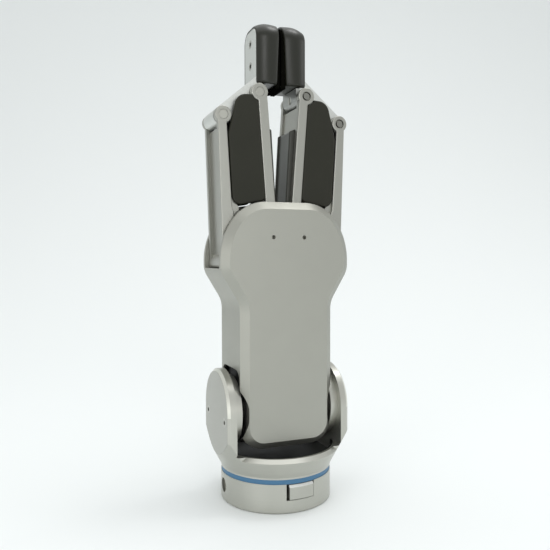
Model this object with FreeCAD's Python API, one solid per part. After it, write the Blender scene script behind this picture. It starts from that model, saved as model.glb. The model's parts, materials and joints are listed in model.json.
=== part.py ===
import FreeCAD, Part
import math
import os

# Two-finger parallel gripper on a tilting bracket and a quick-change mount ring.
# Millimetres, +Z up, front towards -Y, origin at the centre of the ring's bottom face.

Vec = FreeCAD.Vector

# Shared clearances
running_fit = 0.05
pivot_play = 0.1
part_gap = 0.4

# Mount ring
ring_radius = 31.5
ring_height = 15.9
ring_edge = 0.8
pilot_radius = 15.75
pilot_depth = 6.0
pilot_web = 2.0
bolt_circle = 50.0
bolt_hole_radius = 3.3
bolt_head_radius = 5.4
bolt_head_seat = 6.5
seal_height = 2.6
seal_inset = 0.3

# Latch button in the front of the ring
latch_left = -4.6
latch_right = 9.8
latch_bottom = 7.9
latch_depth = 8.0
latch_proud = 0.9
latch_travel = 2.5
latch_side_gap = 1.4
latch_bevel = 1.2
latch_spring_radius = 2.2
latch_spring_wire = 0.5
latch_spring_solid = 1.5

# Side screw in the ring, contact block and pins inside it
side_recess_radius = 3.9
side_recess_depth = 2.0
side_screw_height = 8.9
side_screw_radius = 3.0
side_screw_length = 6.0
hex_socket_radius = 1.3
contact_block_side = 16.0
contact_block_height = 4.0
contact_pin_radius = 0.8
contact_pin_rise = 2.0
contact_pitch = 3.6
contact_pins_each_row = 4
spigot_radius = 18.0

# Tilt bracket
cone_angle = 28.0
cone_foot = 0.9
ear_half_span = 35.7
ear_thickness = 5.0
ear_radius = 22.9
ear_bevel = 1.6
tilt_rise = 33.4
rim_rise = 12.0
rim_bevel = 3.0
dish_wall = 0.57
dish_rise = 4.8
liner_thickness = 1.0
ear_screw_offset = 15.8
ear_screw_drop = 3.6
ear_screw_head = 2.4
ear_screw_shank = 1.5

# Pivot hubs between the ears and the housing
hub_radius = 19.0
hub_thickness = 4.3
hub_neck_radius = 11.0
journal_radius = 8.0
journal_setback = 0.5

# Housing
housing_half_depth = 21.0
slot_half_depth = 14.3
neck_side_gap = 3.7
housing_drop = 19.8
bottom_corner = 13.0
neck_rise = 59.6
neck_fillet = 15.0
shoulder_slope = 31.0
head_flare = 10.7
head_rise = 5.8
crown_drop = 5.9
shoulder_fillet = 12.0
crown_fillet = 23.0
cover_bevel = 4.1
side_pocket_radius = 21.0
side_pocket_depth = 3.8
side_recess_half = 15.5
side_recess_rise = 23.3
side_recess_corner = 6.0
side_liner_thickness = 0.8
frame_wall = 9.0
frame_top_drop = 3.05
frame_floor = 9.5
pivot_wall = 12.5
cavity_rise = 27.0
sight_hole_radius = 1.15
cover_screw_head = 2.8
cover_screw_shank = 1.6
cover_screw_head_height = 2.0
cover_screw_length = 14.0

# Linkage, the same on both sides
arm_pivot_x = 9.06
arm_pivot_drop = 19.3
link_length = 79.3
link_lean = 3.5
link_pivot_edge = 7.96
link_offset_z = -13.75
swing = 55.0
plate_front = 13.7
plate_thickness = 3.5
plate_edge = 0.6
finger_gap = 0.5
top_boss = 4.8
link_top_boss = 4.6
base_boss = 5.7
arm_base_boss = 6.0
pin_radius = 2.6
pin_groove_width = 0.8
pin_groove_depth = 1.8
pin_edge = 0.2
base_pin_radius = 3.0
bush_radius = 4.6
bush_length = 4.0

# Strips of the drive arm and outer link: offsets from the pivot line, outwards positive
arm_top_inner = -4.2
arm_top_outer = 1.2
arm_base_inner = -5.5
arm_base_outer = 0.1
arm_web = 1.6
arm_web_setback = 1.0
link_top_outer = 3.1
link_base_outer = 5.4
link_inner = -1.6
link_inner_base = -2.4
link_flare = -5.8
link_flare_start = 36.0
link_flare_end = 30.0
link_flare_thickness = 1.7
link_web = 1.8
link_web_setback = 2.0
web_end_gap = 1.2

# Dark shields and inner guards on the drive arms
shield_front = 14.0
shield_thickness = 1.7
shield_gap = 0.5
shield_bottom_inner = 20.3
shield_bottom_outer = 18.1
shield_bend_drop = 22.3
shield_top_drop = 1.4
shield_top_outer = 13.0
shield_bottom_radius = 4.5
shield_top_radius = 6.5
shield_corner = 3.0
shield_edge = 1.0
shield_web = 2.0
shield_web_low = 26.0
shield_web_drop = 1.0
guard_low = 12.0
guard_high_share = 0.775
guard_slant = 1.8
guard_face = -6.2
guard_edge = 0.9
guard_rim = 2.4
guard_rim_rise = 1.0

# Fingers, tips and pads
finger_boss = 4.7
tip_overhang = 0.7
tip_plate = 3.2
tip_plate_half = 9.4
tip_plate_drop = 3.4
tip_plate_bevel = 0.4
tip_screw_rise = 11.7
tip_screw_pitch = 12.2
tip_screw_head = 2.4
tip_screw_shank = 1.4
tip_rise = 5.45
tip_length = 34.9
tip_half_depth = 12.2
tip_bulge = 2.2
tip_foot_round = 1.5
tip_crown = 8.5
pad_face = 0.35
pad_thickness = 2.6
pad_half_depth = 9.4
pad_overhang = 1.4
pad_top_inset = 0.4
pad_round = 1.2
lug_screw_radius = 2.1
lug_slot_half = 0.4
bar_roof = 3.0
roof_rise = 9.3
bar_cheek = 3.0

# Swell of the tip: share of the way from its grip side, and inset there as a share of the bulge
tip_swell_inner = ((0, 0.41), (0.05, 0.2), (0.14, 0.055), (0.3, 0), (0.45, 0.014))
tip_swell_outer = ((0.6, 0.055), (0.75, 0.18), (0.87, 0.39), (0.95, 0.66), (1, 1))

# Drive inside the housing
rack_pitch_half = 3.0
rack_half_depth = 4.3
gear_half_width = 4.6
gear_teeth = 12
tooth_height_above = 0.8
tooth_height_below = 1.1
tooth_share = 0.42
tooth_flank = 20.0
gear_bore = 3.0
rack_teeth_spare = 1
rack_foot_drop = 18.7
rack_foot_half = 3.4
lead_screw_radius = 1.6
lead_screw_shoulder = 4.0
motor_gap = 2.5
motor_length = 24.0
motor_rise = 10.0
gearbox_length = 17.0
gearbox_plate_thickness = 4.0
bearing_radius = 6.0
bearing_height = 4.0
board_side_gap = 2.0
board_rise = 11.0
board_top_drop = 6.6
board_thickness = 1.6
board_pocket = 2.4

# Worked-out values
seal_top = ring_height + seal_height
web_top = pilot_depth + pilot_web
latch_spring_length = latch_travel + latch_spring_solid
plate_inner = plate_front - plate_thickness
finger_half = plate_inner - finger_gap
tilt_height = seal_top + tilt_rise
rim_height = seal_top + rim_rise
dish_radius = ring_radius + (dish_rise - cone_foot) * math.tan(math.radians(cone_angle)) - dish_wall
dish_floor = seal_top + dish_rise
hub_inner_face = ear_half_span - ear_thickness - hub_thickness
neck_half_width = ear_half_span - ear_thickness - neck_side_gap
head_radius = neck_half_width + head_flare
side_pocket_floor = neck_half_width - side_pocket_depth
pivot_wall_half = neck_half_width - pivot_wall
journal_end = pivot_wall_half + journal_setback
housing_bottom = tilt_height - housing_drop
neck_top = tilt_height + neck_rise
cavity_step = tilt_height + cavity_rise
shoulder_height = neck_top + (head_radius - neck_half_width) / math.tan(math.radians(shoulder_slope))
head_height = shoulder_height + head_rise
head_top = head_height + head_radius - crown_drop
arm_pivot_z = head_top - arm_pivot_drop
lean = math.radians(link_lean)
link_offset_x = head_radius - link_pivot_edge - arm_pivot_x
link_spacing = link_offset_x * math.cos(lean) - link_offset_z * math.sin(lean)
link_pivot_x = arm_pivot_x + link_offset_x
link_pivot_z = arm_pivot_z + link_offset_z
arm_tip_x = arm_pivot_x + link_length * math.sin(lean)
arm_tip_z = arm_pivot_z + link_length * math.cos(lean)
link_tip_x = arm_tip_x + link_offset_x
link_tip_z = arm_tip_z + link_offset_z
frame_top = link_pivot_z - frame_top_drop
shield_top = link_length - shield_top_drop
shield_bend = link_length - shield_bend_drop
shield_web_high = shield_bend - shield_web_drop
guard_high = link_length * guard_high_share
tip_back = arm_tip_x + tip_overhang
tip_bottom = arm_tip_z + tip_rise
tip_top = tip_bottom + tip_length
tip_plate_top = tip_top - tip_plate_drop
roof_height = arm_tip_z + roof_rise
tip_screw_low = tip_bottom + tip_screw_rise
tip_screw_high = tip_screw_low + tip_screw_pitch
pad_bottom = tip_bottom - pad_overhang
rack_foot = arm_pivot_z - rack_foot_drop
motor_bottom = tilt_height + motor_rise
motor_radius = min(pivot_wall_half, slot_half_depth) - motor_gap
board_half_width = neck_half_width - frame_wall - board_side_gap
board_low = tilt_height + board_rise
board_high = neck_top - board_top_drop
gear_radius = arm_pivot_x - rack_pitch_half
gear_module = 2 * gear_radius / gear_teeth
tooth_pitch = math.pi * gear_module
rack_travel = gear_radius * math.radians(swing)
rack_teeth_below = math.ceil(rack_travel / tooth_pitch) + rack_teeth_spare
gearbox_bottom = motor_bottom + motor_length
plate_bottom = gearbox_bottom + gearbox_length


def cylinder(start, axis, radius, length):
    return Part.makeCylinder(radius, length, Vec(*start), Vec(*axis))


def box(low, high):
    size = [b - a for a, b in zip(low, high)]
    return Part.makeBox(size[0], size[1], size[2], Vec(*low))


def cone(start, axis, radius_a, radius_b, length):
    return Part.makeCone(radius_a, radius_b, length, Vec(*start), Vec(*axis))


def rounded_wire(corners, place):
    """Closed outline of straight runs; each corner is (a, b, radius), place maps (a, b) to a point."""
    count = len(corners)
    runs = []
    for i, (a, b, radius) in enumerate(corners):
        here = Vec(a, b, 0)
        before = Vec(*corners[i - 1][:2], 0) - here
        after = Vec(*corners[(i + 1) % count][:2], 0) - here
        before.normalize()
        after.normalize()
        half = before.getAngle(after) / 2
        cut = radius / math.tan(half)
        bisector = before + after
        bisector.normalize()
        middle = here + bisector * (radius / math.sin(half) - radius)
        runs.append((here + before * cut, middle, here + after * cut, radius))
    edges = []
    for i, (first, middle, last, radius) in enumerate(runs):
        points = [place(p.x, p.y) for p in (first, middle, last)]
        if radius > 0:
            edges.append(Part.Arc(*points).toShape())
        following = place(runs[(i + 1) % count][0].x, runs[(i + 1) % count][0].y)
        if (following - points[2]).Length > 1e-6:
            edges.append(Part.LineSegment(points[2], following).toShape())
    return Part.Wire(edges)


def prism_xz(corners, low_y, high_y):
    """Outline in the front view, extruded from low_y to high_y."""
    wire = rounded_wire(corners, lambda x, z: Vec(x, low_y, z))
    return Part.Face(wire).extrude(Vec(0, high_y - low_y, 0))


def prism_yz(corners, low_x, high_x):
    wire = rounded_wire(corners, lambda y, z: Vec(low_x, y, z))
    return Part.Face(wire).extrude(Vec(high_x - low_x, 0, 0))


def prism_xy(corners, low_z, high_z):
    wire = rounded_wire(corners, lambda x, y: Vec(x, y, low_z))
    return Part.Face(wire).extrude(Vec(0, 0, high_z - low_z))


def on_arm(along, out):
    """Point of the front view, from the drive arm's lower pivot along and across its pivot line."""
    x = arm_pivot_x + along * math.sin(lean) + out * math.cos(lean)
    z = arm_pivot_z + along * math.cos(lean) - out * math.sin(lean)
    return x, z


def on_link(along, out):
    x, z = on_arm(along, out)
    return x + link_offset_x, z + link_offset_z


def arm_prism(corners, low_y, high_y, place=on_arm):
    return prism_xz([(*place(a, u), r) for a, u, r in corners], low_y, high_y)


def pin_y(x, z, radius, low_y, high_y):
    return cylinder((x, low_y, z), (0, 1, 0), radius, high_y - low_y)


def hex_socket(start, axis, depth):
    points = []
    for corner in range(6):
        turn = math.radians(60 * corner)
        points.append(Vec(hex_socket_radius * math.cos(turn), hex_socket_radius * math.sin(turn), 0))
    prism = Part.Face(Part.makePolygon(points + points[:1])).extrude(Vec(0, 0, depth))
    prism.Placement = FreeCAD.Placement(Vec(*start), FreeCAD.Rotation(Vec(0, 0, 1), Vec(*axis)))
    return prism


def revolve_z(profile):
    """Solid of revolution about Z from (radius, height) points."""
    points = [Vec(r, 0, z) for r, z in profile]
    face = Part.Face(Part.makePolygon(points + points[:1]))
    return face.revolve(Vec(0, 0, 0), Vec(0, 0, 1), 360)


def both_faces(solid):
    """The solid and its mirror image through the middle plane between front and rear."""
    return solid.fuse(solid.mirror(Vec(0, 0, 0), Vec(0, 1, 0)))


def edges_at(solid, test):
    return [e for e in solid.Edges if all(test(v.Point) for v in e.Vertexes)]


def group(solids):
    return Part.makeCompound(solids)


def save(name, shape):
    shape.exportStep("parts/%s.step" % name)


def save_pair(name, shape):
    """The right-hand piece as modelled and the left-hand one as its mirror image."""
    save("right_" + name, shape)
    save("left_" + name, shape.mirror(Vec(0, 0, 0), Vec(1, 0, 0)))


def save_turned_pair(name, shape):
    """The right-hand piece as modelled and the left-hand one turned half round the upright axis."""
    save("right_" + name, shape)
    turned = shape.copy()
    turned.rotate(Vec(0, 0, 0), Vec(0, 0, 1), 180)
    save("left_" + name, turned)


# Quick-change base

def mount_ring():
    edge = ring_edge
    recess = spigot_radius + running_fit
    profile = [(pilot_radius, 0), (ring_radius - edge, 0), (ring_radius, edge), (ring_radius, ring_height)]
    profile += [(recess, ring_height), (recess, web_top), (0, web_top), (0, pilot_depth)]
    profile += [(pilot_radius, pilot_depth)]
    ring = revolve_z(profile)
    for quarter in range(4):
        turn = math.radians(45 + 90 * quarter)
        x = bolt_circle / 2 * math.cos(turn)
        y = bolt_circle / 2 * math.sin(turn)
        ring = ring.cut(cylinder((x, y, 0), (0, 0, 1), bolt_hole_radius, ring_height))
        ring = ring.cut(cylinder((x, y, bolt_head_seat), (0, 0, 1), bolt_head_radius, ring_height))
    inner = latch_back() + latch_spring_length
    pocket_low = (latch_left - latch_side_gap, -ring_radius - 1, latch_bottom - latch_side_gap / 2)
    pocket_high = (latch_right + latch_side_gap / 2, inner, ring_height)
    ring = ring.cut(box(pocket_low, pocket_high))
    start = (-ring_radius - 1, 0, side_screw_height)
    dimple = cylinder(start, (1, 0, 0), side_recess_radius, side_recess_depth + 1)
    thread = cylinder((-ring_radius, 0, side_screw_height), (1, 0, 0), side_screw_radius, side_recess_depth
                      + side_screw_length)
    return ring.cut(dimple).cut(thread)


def latch_back():
    return -ring_radius + latch_depth


def latch_button():
    face = Part.makeCylinder(ring_radius + latch_proud, ring_height - latch_bottom, Vec(0, 0, latch_bottom))
    far_corner = (latch_right, latch_back(), ring_height - part_gap)
    block = box((latch_left, -ring_radius - 2, latch_bottom), far_corner)
    button = face.common(block)
    front = edges_at(button, lambda p: p.y < latch_back() - 1 and p.z > ring_height - part_gap - 0.01)
    return button.makeChamfer(latch_bevel, front)


def latch_spring():
    middle = (latch_left + latch_right) / 2
    height = (latch_bottom + ring_height) / 2
    outer = cylinder((middle, latch_back(), height), (0, 1, 0), latch_spring_radius, latch_spring_length)
    inner = cylinder((middle, latch_back(), height), (0, 1, 0), latch_spring_radius - latch_spring_wire,
                     latch_spring_length)
    return outer.cut(inner)


def side_set_screw():
    start = -ring_radius + side_recess_depth
    screw = cylinder((start, 0, side_screw_height), (1, 0, 0), side_screw_radius, side_screw_length)
    return screw.cut(hex_socket((start, 0, side_screw_height), (1, 0, 0), side_screw_length / 2))


def seal_ring():
    outer = ring_radius - seal_inset
    profile = [(spigot_radius, ring_height), (outer, ring_height), (outer, seal_top)]
    profile += [(spigot_radius, seal_top)]
    return revolve_z(profile)


def contact_block():
    half = contact_block_side / 2
    corners = [(-half, -half, 2), (half, -half, 2), (half, half, 2), (-half, half, 2)]
    return prism_xy(corners, web_top, web_top + contact_block_height)


def contact_seats():
    for column in range(contact_pins_each_row):
        for row in (-1, 1):
            yield (column - (contact_pins_each_row - 1) / 2) * contact_pitch, row * contact_pitch / 2


def contact_pins():
    base = web_top + contact_block_height
    pins = []
    for x, y in contact_seats():
        pins.append(cylinder((x, y, base), (0, 0, 1), contact_pin_radius, contact_pin_rise))
    return group(pins)


# Tilt bracket

def tilt_bracket():
    foot = seal_top + cone_foot
    top = tilt_height + ear_radius + 1
    grow = math.tan(math.radians(cone_angle))
    top_radius = ring_radius + (top - foot) * grow
    profile = [(0, seal_top), (ring_radius, seal_top), (ring_radius, foot), (top_radius, top), (0, top)]
    blank = revolve_z(profile)
    wide = 2 * ear_half_span
    ears = prism_yz([(-ear_radius, seal_top, 0), (ear_radius, seal_top, 0), (ear_radius, tilt_height, 0),
                     (-ear_radius, tilt_height, 0)], -wide, wide)
    ears = ears.fuse(cylinder((-wide, 0, tilt_height), (1, 0, 0), ear_radius, 2 * wide))
    bowl = box((-wide, -wide, seal_top), (wide, wide, rim_height))
    slab = box((-ear_half_span, -wide, 0), (ear_half_span, wide, top))
    bracket = blank.common(ears.fuse(bowl)).common(slab)
    rim_radius = ring_radius + (rim_height - foot) * grow
    bevel = revolve_z([(rim_radius - rim_bevel, rim_height), (rim_radius + 1, rim_height),
                       (rim_radius + 1, rim_height - rim_bevel - 1)])
    between = box((-wide, -wide, 0), (wide, -ear_radius, top))
    between = between.fuse(box((-wide, ear_radius, 0), (wide, wide, top)))
    bracket = bracket.cut(bevel.common(between))
    for side in (-1, 1):
        start = (side * (ear_half_span - ear_bevel), 0, tilt_height)
        edge = cone(start, (side, 0, 0), ear_radius, ear_radius - ear_bevel, ear_bevel)
        sleeve = cylinder(start, (side, 0, 0), ear_radius + 5, ear_bevel)
        upper = box((-wide, -wide, tilt_height), (wide, wide, top))
        bracket = bracket.cut(sleeve.cut(edge).common(upper))
        for front in (-1, 1):
            y = front * ear_radius
            x = side * ear_half_span
            wedge = Part.Face(Part.makePolygon([Vec(x, y, 0), Vec(x - side * ear_bevel, y, 0),
                                                Vec(x, y - front * ear_bevel, 0), Vec(x, y, 0)]))
            bracket = bracket.cut(wedge.extrude(Vec(0, 0, tilt_height)).common(
                box((-wide, -wide, rim_height + rim_bevel), (wide, wide, top))))
    inner = ear_half_span - ear_thickness
    dish = cylinder((0, 0, dish_floor), (0, 0, 1), dish_radius, top)
    channel = box((-inner, -wide, dish_floor), (inner, wide, top))
    over_rim = box((-inner, -wide, rim_height), (inner, wide, top))
    bracket = bracket.cut(channel.common(dish)).cut(over_rim)
    bracket = bracket.fuse(cylinder((0, 0, seal_top), (0, 0, -1), spigot_radius, spigot_depth()))
    for side in (-1, 1):
        for y in (-ear_screw_offset, ear_screw_offset):
            bracket = bracket.cut(ear_screw(side, y))
    return bracket


def dish_liner():
    """Dark liner on the floor and the round walls of the bracket's dish."""
    inner = ear_half_span - ear_thickness
    cup = cylinder((0, 0, dish_floor), (0, 0, 1), dish_radius, rim_height - dish_floor)
    start = (0, 0, dish_floor + liner_thickness)
    hollow = cylinder(start, (0, 0, 1), dish_radius - liner_thickness, rim_height)
    return cup.cut(hollow).common(box((-inner, -dish_radius, dish_floor), (inner, dish_radius, rim_height)))


def spigot_depth():
    return seal_top - web_top - contact_block_height - contact_pin_rise


def ear_screw(side, y):
    """Countersunk screw from the ear's outer face into the hub behind it."""
    face = side * ear_half_span
    z = tilt_height - ear_screw_drop
    sink = ear_screw_head - ear_screw_shank
    head = cone((face, y, z), (-side, 0, 0), ear_screw_head, ear_screw_shank, sink)
    shank = cylinder((face, y, z), (-side, 0, 0), ear_screw_shank, ear_thickness + ear_screw_reach())
    return head.fuse(shank)


def ear_screw_reach():
    return (ear_half_span - ear_thickness - hub_inner_face) / 2


def ear_screws():
    screws = []
    for side in (-1, 1):
        for y in (-ear_screw_offset, ear_screw_offset):
            start = (side * ear_half_span, y, tilt_height - ear_screw_drop)
            screws.append(ear_screw(side, y).cut(hex_socket(start, (-side, 0, 0), ear_thickness / 3)))
    return group(screws)


def pivot_hub():
    """Turned hub on the right ear: disc, neck and journal that the housing tilts on."""
    start = ear_half_span - ear_thickness
    hub = cylinder((start, 0, tilt_height), (-1, 0, 0), hub_radius, start - hub_inner_face)
    neck_end = side_pocket_floor + part_gap
    hub = hub.fuse(cylinder((start, 0, tilt_height), (-1, 0, 0), hub_neck_radius, start - neck_end))
    hub = hub.fuse(cylinder((start, 0, tilt_height), (-1, 0, 0), journal_radius, start - journal_end))
    for y in (-ear_screw_offset, ear_screw_offset):
        hub = hub.cut(ear_screw(1, y))
    return hub


# Housing

def housing_blank(low_y, high_y):
    """Round head, sloping shoulders and straight neck, seen from the front."""
    right = [(0, housing_bottom, 0), (neck_half_width, housing_bottom, bottom_corner)]
    right += [(neck_half_width, neck_top, neck_fillet), (head_radius, shoulder_height, shoulder_fillet)]
    right += [(head_radius, head_height, 0)]
    left = [(-x, z, r) for x, z, r in reversed(right[1:])]
    lower = prism_xz(right[1:] + left, low_y, high_y)
    disc = pin_y(0, head_height, head_radius, low_y, high_y)
    disc = disc.cut(box((-head_radius, low_y, head_top), (head_radius, high_y, head_top + head_radius)))
    disc = disc.cut(box((-head_radius, low_y, 0), (head_radius, high_y, head_height)))
    corners = [e for e in disc.Edges if e.BoundBox.ZMin > head_top - 0.01 and e.BoundBox.XLength < 0.01]
    disc = disc.makeFillet(crown_fillet, corners)
    return lower.fuse(disc).removeSplitter()


def side_pocket(inset):
    """Space round the right pivot hub, shrunk by inset: a round pocket with a squarer upper part."""
    floor = side_pocket_floor + inset
    half = side_recess_half - inset
    top = tilt_height + side_recess_rise - inset
    corner = side_recess_corner - inset
    upper = [(-half, tilt_height, 0), (half, tilt_height, 0), (half, top, corner), (-half, top, corner)]
    pocket = cylinder((floor, 0, tilt_height), (1, 0, 0), side_pocket_radius - inset, head_radius)
    return pocket.fuse(prism_yz(upper, floor, floor + head_radius))


def side_pockets():
    pocket = side_pocket(0)
    return group([pocket, pocket.mirror(Vec(0, 0, 0), Vec(1, 0, 0))])


def side_liner():
    """Dark liner on the floor and upper walls of the right side pocket, round the hub's neck."""
    half = side_recess_half
    shell = side_pocket(0).cut(side_pocket(side_liner_thickness))
    top = tilt_height + side_recess_rise
    shell = shell.common(box((0, -half, tilt_height - half), (hub_inner_face - part_gap, half, top)))
    return shell.cut(cylinder((0, 0, tilt_height), (1, 0, 0), hub_neck_radius + part_gap, head_radius))


def pivots():
    """Front-view places of the four pivots carried by the covers, with their pin radii."""
    for side in (-1, 1):
        yield side * arm_pivot_x, arm_pivot_z, base_pin_radius
        yield side * link_pivot_x, link_pivot_z, base_pin_radius


def front_cover():
    cover = housing_blank(-housing_half_depth, -slot_half_depth)
    rim = edges_at(cover, lambda p: p.y < -housing_half_depth + 0.01)
    cover = cover.makeChamfer(cover_bevel, rim).cut(side_pockets())
    for x, z, radius in pivots():
        cover = cover.cut(pin_y(x, z, bush_radius, -slot_half_depth - bush_length, -slot_half_depth))
    for side in (-1, 1):
        x = side * arm_pivot_x
        cover = cover.cut(pin_y(x, arm_pivot_z, sight_hole_radius, -housing_half_depth, -slot_half_depth))
    return cover


def cover_screw_places():
    for side in (-1, 1):
        inset = neck_half_width - cover_bevel - cover_screw_head
        yield side * pivot_wall_half, housing_bottom + cover_bevel + cover_screw_head
        yield side * inset, cavity_step + frame_wall / 2
        yield side * inset, neck_top - neck_fillet / 2


def cover_screw(x, z):
    head = pin_y(x, z, cover_screw_head, housing_half_depth - cover_screw_head_height, housing_half_depth)
    shank_end = housing_half_depth - cover_screw_length
    return head.fuse(pin_y(x, z, cover_screw_shank, shank_end, housing_half_depth))


def rear_cover():
    cover = housing_blank(slot_half_depth, housing_half_depth)
    rim = edges_at(cover, lambda p: p.y > housing_half_depth - 0.01)
    cover = cover.makeChamfer(cover_bevel, rim).cut(side_pockets())
    for x, z, radius in pivots():
        cover = cover.cut(pin_y(x, z, bush_radius, slot_half_depth, slot_half_depth + bush_length))
    cover = cover.cut(control_board_space())
    for x, z in cover_screw_places():
        cover = cover.cut(cover_screw(x, z))
    return cover


def control_board_space():
    return box((-board_half_width - part_gap, slot_half_depth, board_low - part_gap),
               (board_half_width + part_gap, slot_half_depth + board_pocket, board_high + part_gap))


def control_board():
    back = slot_half_depth + board_pocket
    return box((-board_half_width, back - board_thickness, board_low), (board_half_width, back, board_high))


def cover_screws():
    screws = []
    for x, z in cover_screw_places():
        socket = hex_socket((x, housing_half_depth, z), (0, -1, 0), cover_screw_head_height / 2)
        screws.append(cover_screw(x, z).cut(socket))
    return group(screws)


def mid_frame():
    """Open band between the covers: floor, side walls with the tilt bearings, and open shoulders."""
    frame = housing_blank(-slot_half_depth, slot_half_depth)
    wide = head_radius + 1
    frame = frame.cut(box((-wide, -slot_half_depth, frame_top), (wide, slot_half_depth, head_top)))
    slope = math.tan(math.radians(shoulder_slope))
    inner = neck_half_width - frame_wall
    outer = head_radius - frame_wall
    shoulder = neck_top + (outer - inner) / slope
    floor = housing_bottom + frame_floor
    right = [(pivot_wall_half, floor, 2), (pivot_wall_half, cavity_step, 2), (inner, cavity_step, 2)]
    right += [(inner, neck_top, neck_fillet), (outer, shoulder, 4), (outer, frame_top + 1, 0)]
    left = [(-x, z, r) for x, z, r in reversed(right)]
    frame = frame.cut(prism_xz(right + left, -slot_half_depth, slot_half_depth))
    frame = frame.cut(side_pockets())
    bore = journal_radius + running_fit
    frame = frame.cut(cylinder((-neck_half_width, 0, tilt_height), (1, 0, 0), bore, 2 * neck_half_width))
    for side in (-1, 1):
        sweep = base_boss + 2 * part_gap
        frame = frame.cut(pin_y(side * link_pivot_x, link_pivot_z, sweep, -slot_half_depth, slot_half_depth))
    for x, z in cover_screw_places():
        frame = frame.cut(cover_screw(x, z))
    return frame


def pivot_bushes():
    bushes = []
    for x, z, radius in pivots():
        for start in (-slot_half_depth - bush_length, slot_half_depth):
            ring = pin_y(x, z, bush_radius, start, start + bush_length)
            bushes.append(ring.cut(pin_y(x, z, radius + running_fit, start, start + bush_length)))
    return group(bushes)


# Drive train

def motor():
    can = cylinder((0, 0, motor_bottom), (0, 0, 1), motor_radius, motor_length)
    rims = [e for e in can.Edges if e.Closed]
    return can.makeChamfer(part_gap, rims)


def gearbox():
    can = cylinder((0, 0, gearbox_bottom), (0, 0, 1), motor_radius - part_gap, gearbox_length)
    spigot = cylinder((0, 0, plate_bottom), (0, 0, 1), bearing_radius, gearbox_plate_thickness / 2)
    hole = cylinder((0, 0, plate_bottom), (0, 0, 1), lead_screw_shoulder + part_gap, gearbox_plate_thickness)
    return can.fuse(spigot).cut(hole)


def gearbox_plate():
    half = neck_half_width - frame_wall
    corners = [(-half, -slot_half_depth, 1), (half, -slot_half_depth, 1), (half, slot_half_depth, 1)]
    corners += [(-half, slot_half_depth, 1)]
    plate = prism_xy(corners, plate_bottom, plate_bottom + gearbox_plate_thickness)
    return plate.cut(cylinder((0, 0, plate_bottom), (0, 0, 1), bearing_radius, gearbox_plate_thickness))


def screw_bearing():
    base = plate_bottom + gearbox_plate_thickness / 2
    ring = cylinder((0, 0, base), (0, 0, 1), bearing_radius, bearing_height)
    return ring.cut(cylinder((0, 0, base), (0, 0, 1), lead_screw_shoulder + running_fit, bearing_height))


def lead_screw():
    shoulder_top = plate_bottom + gearbox_plate_thickness + bearing_height
    top = arm_pivot_z
    start = (0, 0, plate_bottom + part_gap)
    shaft = cylinder(start, (0, 0, 1), lead_screw_shoulder, shoulder_top - plate_bottom)
    return shaft.fuse(cylinder(start, (0, 0, 1), lead_screw_radius, top - plate_bottom))


def rack_profile():
    """Double-sided rack in the front view, with a tooth level with the gear axes."""
    above = tooth_height_above * gear_module
    below = tooth_height_below * gear_module
    lean_run = math.tan(math.radians(tooth_flank))
    half = tooth_share * tooth_pitch / 2
    side = []
    for n in range(-rack_teeth_below, rack_teeth_spare + 1):
        middle = arm_pivot_z + n * tooth_pitch
        side.append((rack_pitch_half - below, middle - half - below * lean_run))
        side.append((rack_pitch_half + above, middle - half + above * lean_run))
        side.append((rack_pitch_half + above, middle + half - above * lean_run))
        side.append((rack_pitch_half - below, middle + half + below * lean_run))
    return side


def drive_rack():
    side = rack_profile()
    points = side + [(-x, z) for x, z in reversed(side)]
    rack = prism_xz([(x, z, 0) for x, z in points], -rack_half_depth, rack_half_depth)
    foot_top = side[0][1]
    foot = box((-rack_foot_half, -rack_half_depth, rack_foot), (rack_foot_half, rack_half_depth, foot_top))
    rack = rack.fuse(foot)
    bore_top = arm_pivot_z + part_gap
    bore = lead_screw_radius + running_fit
    return rack.cut(cylinder((0, 0, rack_foot), (0, 0, 1), bore, bore_top - rack_foot))


def drive_gear():
    """Spur gear on the drive arm's shaft, with a gap facing the rack at rest."""
    tip = gear_radius + tooth_height_above * gear_module
    root = gear_radius - tooth_height_below * gear_module
    half_pitch = tooth_share * math.pi / gear_teeth
    narrow = math.tan(math.radians(tooth_flank)) / gear_radius
    points = []
    for n in range(gear_teeth):
        middle = 2 * math.pi * (n + 0.5) / gear_teeth + math.pi
        for radius, sign in ((root, -1), (tip, -1), (tip, 1), (root, 1)):
            turn = middle + sign * (half_pitch - (radius - gear_radius) * narrow)
            points.append((arm_pivot_x + radius * math.cos(turn), arm_pivot_z + radius * math.sin(turn), 0))
    gear = prism_xz(points, -gear_half_width, gear_half_width)
    return gear.cut(pin_y(arm_pivot_x, arm_pivot_z, gear_bore, -gear_half_width, gear_half_width))


def drive_shaft():
    end = slot_half_depth + bush_length - part_gap
    return pin_y(arm_pivot_x, arm_pivot_z, base_pin_radius, -end, end)


# Linkage

def plate_pair(corners, bosses, place):
    """Front and rear plates of a link: a strip with round bosses at its pivots."""
    plate = arm_prism(corners, -plate_front, -plate_inner, place)
    for along, radius in bosses:
        x, z = place(along, 0)
        plate = plate.fuse(pin_y(x, z, radius, -plate_front, -plate_inner))
    plate = plate.removeSplitter()
    rim = edges_at(plate, lambda p: p.y < -plate_front + 0.01)
    return both_faces(plate.makeFillet(plate_edge, rim))


def arm_edge(along, top, base):
    return base + (top - base) * along / link_length


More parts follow.
